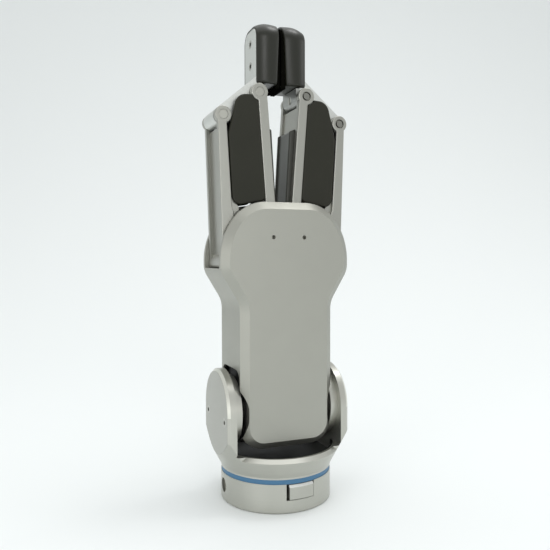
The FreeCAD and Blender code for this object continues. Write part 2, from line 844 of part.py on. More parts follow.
def drive_arm():
    corners = [(0, arm_base_inner, 0), (link_length, arm_top_inner, 0), (link_length, arm_top_outer, 0)]
    corners += [(0, arm_base_outer, 0)]
    arm = plate_pair(corners, [(0, arm_base_boss), (link_length, top_boss)], on_arm)
    web_top = link_length - finger_boss - web_end_gap
    web = []
    for along in (guard_low, web_top):
        web.append((along, arm_edge(along, arm_top_inner, arm_base_inner) + arm_web_setback, 0))
    for along in (web_top, guard_low):
        web.append((along, arm_edge(along, arm_top_inner, arm_base_inner) + arm_web_setback + arm_web, 0))
    arm = arm.fuse(arm_prism(web, -plate_inner, plate_inner))
    hub = pin_y(arm_pivot_x, arm_pivot_z, arm_base_boss, -plate_inner, -gear_half_width - finger_gap)
    arm = arm.fuse(both_faces(hub)).removeSplitter()
    arm = arm.cut(pin_y(arm_pivot_x, arm_pivot_z, base_pin_radius, -plate_front, plate_front))
    return arm.cut(pin_y(arm_tip_x, arm_tip_z, pin_radius, -plate_front, plate_front))


def outer_link():
    corners = [(0, link_base_outer, 0), (link_length, link_top_outer, 0), (link_length, link_inner, 0)]
    corners += [(link_flare_end, link_inner, 0), (link_flare_end + link_inner_base, link_inner_base, 0)]
    corners += [(0, link_inner_base, 0)]
    link = plate_pair(corners, [(0, base_boss), (link_length, link_top_boss)], on_link)
    flare = [(0, 0, 0), (link_flare_start, 0, 0), (link_flare_start, link_inner, 3)]
    flare += [(link_flare_end, link_flare, 3), (0, link_flare, 4)]
    link = link.fuse(both_faces(arm_prism(flare, -plate_inner - link_flare_thickness, -plate_inner, on_link)))
    web_top = link_length - finger_boss - web_end_gap
    web = []
    for along in (0, web_top):
        web.append((along, arm_edge(along, link_top_outer, link_base_outer) - link_web_setback, 0))
    for along in (web_top, 0):
        web.append((along, arm_edge(along, link_top_outer, link_base_outer) - link_web_setback - link_web, 0))
    link = link.fuse(arm_prism(web, -plate_inner, plate_inner, on_link))
    link = link.fuse(pin_y(link_pivot_x, link_pivot_z, base_boss, -plate_inner, plate_inner)).removeSplitter()
    bore = base_pin_radius + running_fit
    link = link.cut(pin_y(link_pivot_x, link_pivot_z, bore, -plate_front, plate_front))
    return link.cut(pin_y(link_tip_x, link_tip_z, pin_radius, -plate_front, plate_front))


def outer_base_pin():
    end = slot_half_depth + bush_length - part_gap
    return pin_y(link_pivot_x, link_pivot_z, base_pin_radius, -end, end)


def top_pin(x, z):
    """Pin flush with the rear plate, with a groove round its front end."""
    pin = pin_y(x, z, pin_radius, -plate_front, plate_front)
    pin = pin.makeChamfer(pin_edge, edges_at(pin, lambda p: p.y > plate_front - 0.01))
    groove = pin_y(x, z, pin_radius, -plate_front, -plate_front + pin_groove_depth)
    core = pin_y(x, z, pin_radius - pin_groove_width, -plate_front, -plate_front + pin_groove_depth)
    return pin.cut(groove.cut(core))


def shield():
    """Moulded shield on the drive arm: front and rear panels joined by a web behind the arm."""
    outer = link_spacing + link_inner - shield_gap
    low = arm_edge(shield_bottom_inner, arm_top_outer, arm_base_outer)
    high = arm_edge(shield_top, arm_top_outer, arm_base_outer)
    corners = [(shield_bottom_inner, low, shield_corner), (shield_bottom_outer, outer, shield_bottom_radius)]
    corners += [(shield_bend, outer, 2 * shield_corner), (shield_top, shield_top_outer, shield_top_radius)]
    corners += [(shield_top, high, shield_corner)]
    panel = arm_prism(corners, -shield_front, -shield_front + shield_thickness)
    rim = edges_at(panel, lambda p: p.y < -shield_front + 0.01)
    panel = panel.makeFillet(shield_edge, rim)
    panel = panel.cut(pin_y(arm_tip_x, arm_tip_z, top_boss + finger_gap / 2, -shield_front, 0))
    web = []
    for along in (shield_web_low, shield_web_high):
        web.append((along, arm_edge(along, arm_top_outer, arm_base_outer) + part_gap, 0))
    for along in (shield_web_high, shield_web_low):
        web.append((along, arm_edge(along, arm_top_outer, arm_base_outer) + part_gap + shield_web, 0))
    inner = shield_front - shield_thickness
    return both_faces(panel).fuse(arm_prism(web, -inner, inner)).removeSplitter()


def inner_guard():
    """Plastic guard on the inner face of the drive arm's web, with raised front and rear rims."""
    seat_low = arm_edge(guard_low, arm_top_inner, arm_base_inner) + arm_web_setback
    seat_high = arm_edge(guard_high, arm_top_inner, arm_base_inner) + arm_web_setback
    seat = [(guard_low, seat_low, 0), (guard_high, seat_high, 0)]
    face = [(guard_high - guard_slant, guard_face, 1), (guard_low, guard_face, 0)]
    crest = guard_face - guard_rim_rise
    rim = [(guard_high - guard_slant, crest, 1), (guard_low, crest, 0)]
    guard = arm_prism(seat + face, -finger_half, finger_half)
    strip = arm_prism(seat + rim, -finger_half, -finger_half + guard_rim)
    across = Vec(math.cos(lean), 0, -math.sin(lean))
    foot = on_arm(guard_low, crest)
    origin = Vec(foot[0], 0, foot[1])
    long_edges = [e for e in strip.Edges if e.BoundBox.YLength < 0.01 and e.Length > guard_high / 2
                  and abs((e.CenterOfMass - origin).dot(across)) < 0.01]
    strip = strip.makeFillet(guard_edge, long_edges)
    return guard.fuse(both_faces(strip)).removeSplitter()


# Fingers

def finger_bar_corners(radius):
    """Offset across the line of the two finger pivots, and the pivots themselves."""
    run = Vec(link_tip_x - arm_tip_x, 0, link_tip_z - arm_tip_z)
    run.normalize()
    side = Vec(-run.z, 0, run.x) * radius
    return side, Vec(arm_tip_x, 0, arm_tip_z), Vec(link_tip_x, 0, link_tip_z)


def roof_touch(start, centre, radius):
    """Point where the sloping roof from start touches the outer barrel."""
    away = start - centre
    turn = math.acos(radius / away.Length)
    away.normalize()
    x = away.x * math.cos(turn) + away.z * math.sin(turn)
    z = away.z * math.cos(turn) - away.x * math.sin(turn)
    return centre + Vec(x, 0, z) * radius


def bar_prism(points, half):
    low = Vec(0, -half, 0)
    return Part.Face(Part.makePolygon([p + low for p in points + points[:1]])).extrude(Vec(0, 2 * half, 0))


def finger():
    side, inner, outer = finger_bar_corners(finger_boss)
    roof_start = Vec(tip_back, 0, roof_height)
    lug_face = arm_tip_x - finger_boss
    outline = [Vec(lug_face, 0, arm_tip_z), inner - side, outer - side]
    outline += [roof_touch(roof_start, outer, finger_boss)]
    outline += [roof_start, Vec(lug_face, 0, roof_start.z)]
    bar = bar_prism(outline, finger_half)
    bar = bar.cut(box((0, -finger_half, tip_bottom - part_gap), (tip_back - tip_plate, finger_half, tip_top)))
    roof, inner_pocket, outer_pocket = finger_bar_corners(finger_boss - bar_roof)
    under = [inner_pocket + roof, outer_pocket + roof, outer_pocket - side * 2, inner_pocket - side * 2]
    bar = bar.cut(bar_prism(under, finger_half - bar_cheek))
    for x, z in ((arm_tip_x, arm_tip_z), (link_tip_x, link_tip_z)):
        bar = bar.fuse(pin_y(x, z, finger_boss, -finger_half, finger_half))
    plate = tip_back_plate()
    rim = [e for e in plate.Edges
           if e.BoundBox.XMin > tip_back - 0.01 and e.BoundBox.ZMax > tip_bottom + 0.01]
    solid = bar.fuse(plate.makeChamfer(tip_plate_bevel, rim)).removeSplitter()
    solid = solid.cut(lug_screw())
    for x, z in ((arm_tip_x, arm_tip_z), (link_tip_x, link_tip_z)):
        solid = solid.cut(pin_y(x, z, pin_radius + pivot_play, -finger_half, finger_half))
    for z in (tip_screw_low, tip_screw_high):
        solid = solid.cut(tip_screw(z))
    return solid


def tip_back_plate():
    half = tip_plate_half
    arch = tip_crown - tip_half_depth + half
    corners = [(-half, tip_bottom, 0), (half, tip_bottom, 0)]
    corners += [(half, tip_plate_top, arch), (-half, tip_plate_top, arch)]
    return prism_yz(corners, tip_back - tip_plate, tip_back)


def lug_screw():
    start = arm_tip_x - finger_boss
    return cylinder((start, 0, arm_tip_z), (1, 0, 0), lug_screw_radius, finger_boss - pin_radius - part_gap)


def lug_screw_piece():
    slot = box((0, -lug_slot_half, 0), (arm_tip_x - finger_boss + 2 * part_gap, lug_slot_half, tip_top))
    return lug_screw().cut(slot)


def tip_screw(z):
    sink = tip_screw_head - tip_screw_shank
    head = cone((tip_back, 0, z), (-1, 0, 0), tip_screw_head, tip_screw_shank, sink)
    return head.fuse(cylinder((tip_back, 0, z), (-1, 0, 0), tip_screw_shank, tip_plate * 2))


def tip_screws():
    screws = []
    for z in (tip_screw_low, tip_screw_high):
        screws.append(tip_screw(z).cut(hex_socket((tip_back, 0, z), (-1, 0, 0), tip_plate / 2)))
    return group(screws)


def fingertip():
    """Rubber tip, swelling through arched outlines from its grip side to the finger's back plate."""
    inner = pad_face + pad_thickness
    outlines = []
    for share, swell in tip_swell_inner + tip_swell_outer:
        inset = tip_bulge * swell
        x = inner + (tip_back - inner) * share
        half = tip_half_depth - inset
        top = tip_top - inset
        crown = tip_crown - inset
        foot = tip_foot_round
        corners = [(-half, tip_bottom, foot), (half, tip_bottom, foot)]
        corners += [(half, top, crown), (-half, top, crown)]
        outlines.append(rounded_wire(corners, lambda y, z: Vec(x, y, z)))
    tip = Part.makeLoft(outlines, True).cut(tip_back_plate())
    tip = tip.cut(box((tip_back - tip_plate, -finger_half, tip_bottom), (tip_back, finger_half, roof_height)))
    for z in (tip_screw_low, tip_screw_high):
        tip = tip.cut(tip_screw(z))
    return tip


def grip_pad():
    half = pad_half_depth
    top = tip_top - pad_top_inset
    arch = tip_crown - tip_half_depth + half
    corners = [(-half, pad_bottom, pad_round), (half, pad_bottom, pad_round)]
    corners += [(half, top, arch), (-half, top, arch)]
    pad = prism_yz(corners, pad_face, pad_face + pad_thickness)
    face = [e for e in pad.Edges if e.BoundBox.XMax < pad_face + 0.01]
    return pad.makeChamfer(pad_round / 2, face)


def build():
    os.makedirs("parts", exist_ok=True)
    singles = [mount_ring, latch_button, latch_spring, side_set_screw, seal_ring, contact_block, contact_pins]
    singles += [tilt_bracket, dish_liner, ear_screws, front_cover, rear_cover, cover_screws, mid_frame]
    singles += [pivot_bushes, control_board, motor, gearbox, gearbox_plate, screw_bearing, lead_screw]
    singles += [drive_rack]
    for piece in singles:
        save(piece.__name__, piece())
    pairs = [pivot_hub, side_liner, drive_gear, drive_shaft, drive_arm, outer_link, outer_base_pin]
    pairs += [shield, inner_guard, finger, tip_screws, fingertip, grip_pad]
    for piece in pairs:
        save_pair(piece.__name__, piece())
    save_pair("lug_screw", lug_screw_piece())
    save_turned_pair("inner_pin", top_pin(arm_tip_x, arm_tip_z))
    save_turned_pair("outer_pin", top_pin(link_tip_x, link_tip_z))


build()
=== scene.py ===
import json
import math

import bmesh
import bpy
import numpy as np
from mathutils import Matrix, Vector


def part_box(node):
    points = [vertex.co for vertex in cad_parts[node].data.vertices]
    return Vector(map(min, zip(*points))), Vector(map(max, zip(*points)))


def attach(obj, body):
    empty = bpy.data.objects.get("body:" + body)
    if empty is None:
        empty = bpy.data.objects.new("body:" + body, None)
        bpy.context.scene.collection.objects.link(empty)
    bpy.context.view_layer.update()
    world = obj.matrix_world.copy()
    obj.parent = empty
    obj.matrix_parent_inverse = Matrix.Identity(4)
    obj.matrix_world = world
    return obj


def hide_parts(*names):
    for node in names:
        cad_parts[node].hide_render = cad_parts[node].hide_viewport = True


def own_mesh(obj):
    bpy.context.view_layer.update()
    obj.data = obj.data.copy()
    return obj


bl_info = {
    "name": "Two-finger gripper finishes",
    "version": (1, 0, 0),
    "blender": (4, 5, 0),
    "location": "View3D > Sidebar > Gripper",
    "description": "Finishes, small moulded and turned details and studio for a tilting two-finger gripper",
    "category": "Object",
}

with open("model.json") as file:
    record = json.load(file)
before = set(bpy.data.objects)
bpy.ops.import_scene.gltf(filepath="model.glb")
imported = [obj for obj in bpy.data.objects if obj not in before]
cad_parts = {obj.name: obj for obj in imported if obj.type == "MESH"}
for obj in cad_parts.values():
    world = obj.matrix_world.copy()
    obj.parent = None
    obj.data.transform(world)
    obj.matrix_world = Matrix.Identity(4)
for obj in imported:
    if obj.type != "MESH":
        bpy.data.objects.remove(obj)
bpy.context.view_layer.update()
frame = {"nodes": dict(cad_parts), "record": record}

MM = 0.001
SIDES = (("left", 1), ("right", -1))

# Places where one finish, or a painted shade or painted highlight, gives way to another: distances from the
# middle, or heights above the floor

EAR_FACE = 35.6 * MM
EAR_BEVEL = 34.2 * MM
TILT_AXIS_HEIGHT = 51.9 * MM
BUTTON_BEVEL_HEIGHT = 14.35 * MM
FINGER_LUG = 11.3 * MM
GUARD_RIM = 7.3 * MM

# Rows and columns of the surfaces

COIL_ROWS = 200
WIRE_COLUMNS = 12
THREAD_ROWS = 160
THREAD_COLUMNS = 64
PAD_ROWS = 150
PAD_CORNER_ROWS = 10
PAD_FACE_COLUMNS = 41
ARCH_CORNER_COLUMNS = 14
TIP_ROWS = 31
TIP_RIM_ROWS = 7
FLOOR_BEND_ROWS = 60
FLOOR_COLUMNS = 13

# Shading and merging of the surfaces

SHARP_ANGLE = math.radians(40)
MERGE_DISTANCE = 1e-7
SLIVER_WIDTH = 1e-8
GROOVE_POWER = 4

# Studio, in metres

FLOOR_FRONT = (-2.5, -1.0)
FLOOR_RUN = 0.35
FLOOR_BEND = 1.8
FLOOR_HALF_WIDTH = 4.0
SKY_COLOUR = (0.935, 0.955, 0.95, 1.0)
SKY_STRENGTH = 0.80
NEAREST_SEEN = 0.01
FARTHEST_SEEN = 20
SENSOR_WIDTH = 36
PICTURE_WIDTH = 550
FOCAL_PIXELS = 612.39

# Name, place, aim, side and power of each square lamp

LAMPS = (
    ("top_light", (0.5, -0.03, 1.45), (0, 0, 0.15), 0.4, 2.9),
    ("wide_light", (0.0, 0.0, 1.7), (0, 0, 0), 1.8, 8.5),
    ("left_light", (-1.1, -0.75, 0.25), (0, 0, 0.15), 0.5, 2.4),
    ("front_light", (0.12, -1.6, 0.3), (0, 0, 0.15), 0.5, 1.1),
    ("right_light", (1.25, -0.55, 0.72), (0, 0, 0.22), 0.4, 1.0),
    ("glow_light", (-0.16, -1.4, 0.75), (0, 0, 0.22), 0.35, 1.7),
)

# Sockets of a Mix node that mixes colours

MIX_FROM = 6
MIX_TO = 7
MIX_COLOUR = 2


def srgb(red, green, blue):
    """Linear colour of an 8-bit screen colour."""
    shares = np.array([red, green, blue]) / 255
    linear = np.where(shares <= 0.04045, shares / 12.92, ((shares + 0.055) / 1.055) ** 2.4)
    return tuple(float(v) for v in linear)


# Sizes and colours that a user would change

class GripperFinishes(bpy.types.PropertyGroup):
    """Colours and grain of the gripper's finishes"""
    blasted_colour: bpy.props.FloatVectorProperty(
        name="Blasted aluminium", description="Colour of the covers",
        default=srgb(168, 168, 160), subtype="COLOR", min=0, max=1)
    linkage_colour: bpy.props.FloatVectorProperty(
        name="Linkage aluminium", description="Colour of the arms and links",
        default=srgb(166, 166, 159), subtype="COLOR", min=0, max=1)
    finger_colour: bpy.props.FloatVectorProperty(
        name="Finger aluminium", description="Colour of the fingers",
        default=srgb(212, 214, 210), subtype="COLOR", min=0, max=1)
    machined_colour: bpy.props.FloatVectorProperty(
        name="Machined aluminium", description="Colour of the bracket, hubs and mount ring",
        default=srgb(190, 190, 182), subtype="COLOR", min=0, max=1)
    steel_colour: bpy.props.FloatVectorProperty(
        name="Steel", description="Colour of pins, screws and shafts",
        default=srgb(180, 180, 172), subtype="COLOR", min=0, max=1)
    shield_colour: bpy.props.FloatVectorProperty(
        name="Shield plastic", description="Colour of the shields",
        default=srgb(38, 38, 29), subtype="COLOR", min=0, max=1)
    guard_colour: bpy.props.FloatVectorProperty(
        name="Guard plastic", description="Colour of the inner guards",
        default=srgb(120, 122, 118), subtype="COLOR", min=0, max=1)
    # Painted shade: the dark liners in the dish and side pockets stand in for the shade in those recesses.
    shade_liner_colour: bpy.props.FloatVectorProperty(
        name="Shade liner", description="Colour of the liners in the dish and side pockets",
        default=srgb(10, 10, 8), subtype="COLOR", min=0, max=1)
    tip_colour: bpy.props.FloatVectorProperty(
        name="Tip rubber", description="Colour of the fingertips",
        default=srgb(30, 31, 23), subtype="COLOR", min=0, max=1)
    pad_colour: bpy.props.FloatVectorProperty(
        name="Pad rubber", description="Colour of the grip pads",
        default=srgb(14, 14, 11), subtype="COLOR", min=0, max=1)
    seal_colour: bpy.props.FloatVectorProperty(
        name="Seal ring", description="Colour of the ring between mount and bracket",
        default=srgb(68, 116, 152), subtype="COLOR", min=0, max=1)
    grain_size: bpy.props.FloatProperty(
        name="Blasting grain", description="Width of one dimple of the blasted finish",
        default=0.35 * MM, unit="LENGTH")


class GripperSizes(bpy.types.PropertyGroup):
    """Sizes of the spring, the thread, the grip pads and the rubber tips"""
    spring_turns: bpy.props.FloatProperty(
        name="Spring turns", description="Turns of the latch spring", default=4.5, min=2)
    spring_wire: bpy.props.FloatProperty(
        name="Spring wire", description="Radius of the latch spring's wire",
        default=0.16 * MM, unit="LENGTH")
    spring_kept: bpy.props.FloatProperty(
        name="Spring kept", description="Share of its length that the pressed spring keeps",
        default=0.375, subtype="FACTOR")
    thread_radius: bpy.props.FloatProperty(
        name="Thread radius", description="Outer radius of the lead screw's thread",
        default=1.6 * MM, unit="LENGTH")
    thread_depth: bpy.props.FloatProperty(
        name="Thread depth", description="Depth of the lead screw's thread",
        default=0.3 * MM, unit="LENGTH")
    thread_lead: bpy.props.FloatProperty(
        name="Thread lead", description="Travel of the lead screw in one turn",
        default=8.0 * MM, unit="LENGTH")
    thread_starts: bpy.props.IntProperty(
        name="Thread starts", description="Separate threads round the lead screw", default=4, min=1)
    shoulder_length: bpy.props.FloatProperty(
        name="Shoulder", description="Length of the lead screw's plain shoulder",
        default=8.0 * MM, unit="LENGTH")
    groove_pitch: bpy.props.FloatProperty(
        name="Groove pitch", description="Height between the grip pad's grooves",
        default=2.9 * MM, unit="LENGTH")
    groove_depth: bpy.props.FloatProperty(
        name="Groove depth", description="Depth of the grip pad's grooves",
        default=0.45 * MM, unit="LENGTH")
    pad_arch: bpy.props.FloatProperty(
        name="Pad arch", description="Radius of the grip pad's upper corners",
        default=8.0 * MM, unit="LENGTH")
    pad_drop: bpy.props.FloatProperty(
        name="Pad drop", description="How far the grip pad's top stays below its solid's",
        default=0.9 * MM, unit="LENGTH")
    pad_corner: bpy.props.FloatProperty(
        name="Pad corner", description="Radius of the grip pad's lower corners",
        default=1.2 * MM, unit="LENGTH")
    pad_edge: bpy.props.FloatProperty(
        name="Pad edge", description="Bevel round the grip pad's face",
        default=0.6 * MM, unit="LENGTH")
    tip_rim_high: bpy.props.FloatProperty(
        name="Upper rim", description="Distance of the tip's rim from the middle at its top",
        default=1.2 * MM, unit="LENGTH")
    tip_rim_low: bpy.props.FloatProperty(
        name="Lower rim", description="Distance of the tip's rim from the middle at its foot",
        default=2.8 * MM, unit="LENGTH")
    tip_crown: bpy.props.FloatProperty(
        name="Tip crown", description="Radius of the tip's upper corners where it is fullest",
        default=9.8 * MM, unit="LENGTH")
    crown_fall: bpy.props.FloatProperty(
        name="Crown fall", description="Loss of crown radius for each length that the top draws in",
        default=1.1)
    tip_foot: bpy.props.FloatProperty(
        name="Tip foot", description="Radius of the tip's lower corners",
        default=1.5 * MM, unit="LENGTH")
    tip_edge: bpy.props.FloatProperty(
        name="Tip edge", description="Radius of the tip's rims",
        default=0.5 * MM, unit="LENGTH")
    tip_grip_swell: bpy.props.FloatProperty(
        name="Grip swell", description="How far the tip's sides draw in towards its grip side",
        default=0.9 * MM, unit="LENGTH")
    tip_brow_swell: bpy.props.FloatProperty(
        name="Brow swell", description="How far the tip's top draws in towards its grip side",
        default=0.25 * MM, unit="LENGTH")
    tip_side_swell: bpy.props.FloatProperty(
        name="Side swell", description="How far the tip's sides draw in towards the finger's plate",
        default=1.95 * MM, unit="LENGTH")
    tip_top_swell: bpy.props.FloatProperty(
        name="Top swell", description="How far the tip's top draws in towards the finger's plate",
        default=2.6 * MM, unit="LENGTH")
    tip_fullest: bpy.props.FloatProperty(
        name="Fullest place", description="Share of the way from grip side to plate where the tip is fullest",
        default=0.42, subtype="FACTOR")
    plate_thickness: bpy.props.FloatProperty(
        name="Plate", description="Thickness of the finger's plate behind the tip",
        default=3.2 * MM, unit="LENGTH")
    plate_arch: bpy.props.FloatProperty(
        name="Plate arch", description="Radius of the finger plate's upper corners",
        default=5.7 * MM, unit="LENGTH")
    plate_foot: bpy.props.FloatProperty(
        name="Plate foot", description="Height of the finger's thick foot above the tip's foot",
        default=3.85 * MM, unit="LENGTH")
    screw_head: bpy.props.FloatProperty(
        name="Screw head", description="Radius of the tip screws' heads",
        default=2.4 * MM, unit="LENGTH")
    screw_shank: bpy.props.FloatProperty(
        name="Screw shank", description="Radius of the tip screws' shanks",
        default=1.4 * MM, unit="LENGTH")
    recess_play: bpy.props.FloatProperty(
        name="Recess play", description="Space round what sits in the tip",
        default=0.03 * MM, unit="LENGTH")


class GripperStudio(bpy.types.PropertyGroup):
    """Place of the camera and colour of the floor"""
    camera_azimuth: bpy.props.FloatProperty(
        name="Camera azimuth", description="Turn of the camera round the gripper",
        default=math.radians(-21.66), subtype="ANGLE")
    camera_distance: bpy.props.FloatProperty(
        name="Camera distance", description="Level distance from the gripper's axis",
        default=0.35298, unit="LENGTH")
    camera_height: bpy.props.FloatProperty(
        name="Camera height", description="Height of the camera above the floor",
        default=0.13711, unit="LENGTH")
    camera_pitch: bpy.props.FloatProperty(
        name="Camera pitch", description="How far the camera looks down",
        default=math.radians(1.713), subtype="ANGLE")
    camera_roll: bpy.props.FloatProperty(
        name="Camera roll", description="Turn of the picture about its centre",
        default=math.radians(-0.15), subtype="ANGLE")
    camera_lens: bpy.props.FloatProperty(
        name="Lens", description="Focal length on a 36 mm wide sensor",
        default=FOCAL_PIXELS * SENSOR_WIDTH / PICTURE_WIDTH, unit="CAMERA")
    floor_colour: bpy.props.FloatVectorProperty(
        name="Floor", description="Colour of the floor",
        default=srgb(238, 241, 241), subtype="COLOR", min=0, max=1)


# Shader expressions

class Wire:
    """A shader socket in a Python expression; each operator adds one Math node."""

    def __init__(self, graph, socket):
        self.graph = graph
        self.socket = socket

    def maths(self, operation, *values):
        return self.graph.node("ShaderNodeMath", {"operation": operation}, dict(enumerate(values)))

    def __add__(self, other):
        return self.maths("ADD", self, other)

    def __sub__(self, other):
        return self.maths("SUBTRACT", self, other)

    def __rsub__(self, other):
        return self.maths("SUBTRACT", other, self)

    def __mul__(self, other):
        return self.maths("MULTIPLY", self, other)

    __radd__ = __add__
    __rmul__ = __mul__

    def root(self):
        return self.maths("SQRT", self)

    def above(self, level):
        return self.maths("GREATER_THAN", self, level)

    def below(self, level):
        return self.maths("LESS_THAN", self, level)

    def wave(self):
        return self.maths("SINE", self)


class Finish:
    """A node material: constants go on the shader's sockets, varying values come as wires."""

    def __init__(self, name, colour, roughness, metallic=0.0, **constants):
        self.material = bpy.data.materials.new(name)
        self.material.use_nodes = True
        self.tree = self.material.node_tree
        self.shader = next(n for n in self.tree.nodes if n.type == "BSDF_PRINCIPLED")
        self.colour = (*colour, 1.0)
        self.feed(self.shader, "Base Color", self.colour)
        self.feed(self.shader, "Roughness", roughness)
        self.feed(self.shader, "Metallic", metallic)
        for socket, value in constants.items():
            self.feed(self.shader, socket.replace("_", " "), value)

    def feed(self, node, socket, value):
        """Links a wire to a node's socket, or sets a constant on it."""
        if isinstance(value, Wire):
            self.tree.links.new(value.socket, node.inputs[socket])
        else:
            node.inputs[socket].default_value = value

    def node(self, kind, settings, inputs, output=0):
        """Adds a node, sets its settings, then the values or links of its sockets."""
        made = self.tree.nodes.new(kind)
        for name, value in settings.items():
            setattr(made, name, value)
        for socket, value in inputs.items():
            self.feed(made, socket, value)
        return Wire(self, made.outputs[output])

    def place(self, scale=(1, 1, 1)):
        """Object coordinates in metres, stretched by scale."""
        here = self.node("ShaderNodeTexCoord", {}, {}, "Object")
        return self.node("ShaderNodeMapping", {}, {"Vector": here, "Scale": scale})

    def axes(self):
        """The x, y and z of the object coordinates."""
        split = self.node("ShaderNodeSeparateXYZ", {}, {"Vector": self.place()})
        return [Wire(self, socket) for socket in split.socket.node.outputs]

    def noise(self, size, detail=2.0, stretch=(1, 1, 1)):
        """Smooth noise from 0 to 1 with patches of the given size in metres."""
        inputs = {"Vector": self.place(stretch), "Scale": 1 / size, "Detail": detail}
        return self.node("ShaderNodeTexNoise", {"noise_dimensions": "3D"}, inputs)

    def cells(self, size):
        """Rounded cells of the given size in metres, as distance from each cell's middle."""
        inputs = {"Vector": self.place(), "Scale": 1 / size}
        return self.node("ShaderNodeTexVoronoi", {"feature": "SMOOTH_F1"}, inputs)

    def tint(self, share, toward):
        """Base colour that goes from the finish's own colour towards another by a wire's share."""
        inputs = {"Factor": share, MIX_FROM: self.colour, MIX_TO: (*toward, 1.0)}
        mixed = self.node("ShaderNodeMix", {"data_type": "RGBA"}, inputs, MIX_COLOUR)
        self.feed(self.shader, "Base Color", mixed)

    def rough(self, wire):
        """Roughness that varies with a wire."""
        self.feed(self.shader, "Roughness", wire)

    def bump(self, height, depth, strength):
        """Fine relief of the given depth in metres."""
        inputs = {"Height": height, "Distance": depth, "Strength": strength}
        self.feed(self.shader, "Normal", self.node("ShaderNodeBump", {}, inputs))


def shaded(colour, share):
    """Colour times a share: darker below 1, brighter above."""
    return tuple(share * v for v in colour)


# Finishes

def blasted_finish(name, colour, grain_size, roughness):
    """Bead-blasted clear anodising before its tint, with its cloudy handling marks and fine dimples."""
    made = Finish(name, colour, roughness, metallic=0.85)
    clouds = made.noise(18 * MM, detail=3.0)
    grain = made.noise(grain_size)
    made.rough(roughness - 0.06 + 0.10 * clouds + 0.05 * grain)
    made.bump(grain, depth=0.02 * MM, strength=0.35)
    return made, clouds, grain


def blasted_aluminium(name, colour, grain_size, roughness):
    """Blasted aluminium with a soft sheen and faint clouds."""
    made, clouds, grain = blasted_finish(name, colour, grain_size, roughness)
    made.tint(0.35 * clouds + 0.15 * grain, shaded(colour, 0.86))
    return made.material


def finger_aluminium(finishes):
    """Bright blasted aluminium, with painted shade darkening the lug below the tip."""
    colour = finishes.finger_colour
    made, clouds, grain = blasted_finish("finger_aluminium", colour, finishes.grain_size, roughness=0.34)
    x = made.axes()[0]
    # Painted shade on the lug below the tip.
    lug_shade = (x * x).below(FINGER_LUG ** 2)
    made.tint(0.1 * clouds + 0.04 * grain + 0.85 * lug_shade, shaded(colour, 0.5))
    return made.material


def machined_aluminium(finishes):
    """Turned aluminium: satin, with fine tool lines round the mount's axis. The ears' flat faces are
    darker with painted shade, and the turned bevels round their upper halves carry a painted highlight."""
    colour = finishes.machined_colour
    made = Finish("machined_aluminium", shaded(colour, 1.4), roughness=0.32, metallic=0.9)
    x, y, z = made.axes()
    radius = (x * x + y * y).root()
    lines = made.node("ShaderNodeCombineXYZ", {}, {"X": radius, "Y": z})
    groove = made.node("ShaderNodeTexNoise", {"noise_dimensions": "2D"},
                       {"Vector": lines, "Scale": 1 / (0.22 * MM), "Detail": 1.0})
    clouds = made.noise(22 * MM)
    # Painted shade darkens the ears' flat faces; a painted highlight brightens the upper halves of their
    # bevels.
    ear_face_shade = (x * x).above(EAR_FACE ** 2)
    ear_bevel_highlight = (x * x).above(EAR_BEVEL ** 2) * (x * x).below(EAR_FACE ** 2) * z.above(TILT_AXIS_HEIGHT)
    marks = 0.59 + 0.08 * clouds + 0.08 * groove
    made.tint(marks - 0.6 * ear_bevel_highlight + 0.3 * ear_face_shade, shaded(colour, 0.72))
    made.rough(0.24 + 0.08 * clouds + 0.06 * groove)
    made.bump(groove, depth=0.008 * MM, strength=0.3)
    return made.material


def button_aluminium(finishes):
    """Satin aluminium with a painted highlight on the bevel along its top."""
    colour = shaded(finishes.machined_colour, 0.92)
    made = Finish("button_aluminium", colour, roughness=0.3, metallic=0.9)
    # Painted highlight: the bevel along the top is tinted brighter.
    bevel = made.axes()[2].above(BUTTON_BEVEL_HEIGHT)
    clouds = made.noise(22 * MM)
    made.tint(0.55 * bevel, (0.86, 0.87, 0.86))
    made.rough(0.28 + 0.08 * clouds)
    return made.material


def ground_steel(finishes):
    """Ground steel: fine streaks along y, with a slightly uneven shine."""
    colour = finishes.steel_colour
    made = Finish("ground_steel", colour, roughness=0.28, metallic=1.0)
    streaks = made.noise(0.3 * MM, stretch=(1, 0.1, 1))
    made.tint(0.3 * streaks, shaded(colour, 0.7))
    made.rough(0.22 + 0.12 * streaks)
    made.bump(streaks, depth=0.01 * MM, strength=0.2)
    return made.material


def headed_steel(finishes):
    """Pin steel with fine specks, and a dark oxide on one end of each pin."""
    colour = finishes.steel_colour
    made = Finish("headed_steel", colour, roughness=0.3, metallic=1.0)
    x, y, _ = made.axes()
    specks = made.noise(0.4 * MM)
    dark_end = (x * y).below(0.0)
    made.tint(0.15 * specks + 0.75 * dark_end + 0.12, shaded(colour, 0.5))
    made.rough(0.26 + 0.1 * specks)
    made.bump(specks, depth=0.01 * MM, strength=0.2)
    return made.material


def black_oxide():
    """Oil-blackened steel with lighter specks."""
    colour = srgb(74, 74, 70)
    made = Finish("black_oxide", colour, roughness=0.3, metallic=1.0)
    specks = made.noise(0.5 * MM)
    made.tint(0.5 * specks, shaded(colour, 0.5))
    made.rough(0.24 + 0.16 * specks)
    made.bump(specks, depth=0.01 * MM, strength=0.2)
    return made.material


def rimmed_guard(finishes):
    """Guard plastic whose long rims are as dark as the shields."""
    made = Finish("rimmed_guard", finishes.guard_colour, roughness=0.45)
    y = made.axes()[1]
    rim = (y * y).above(GUARD_RIM ** 2)
    clouds = made.noise(15 * MM)
    made.tint(0.1 * clouds + 0.85 * rim, finishes.shield_colour)
    made.rough(0.39 + 0.12 * clouds)
    made.bump(made.cells(0.5 * MM), depth=0.02 * MM, strength=0.5)
    return made.material


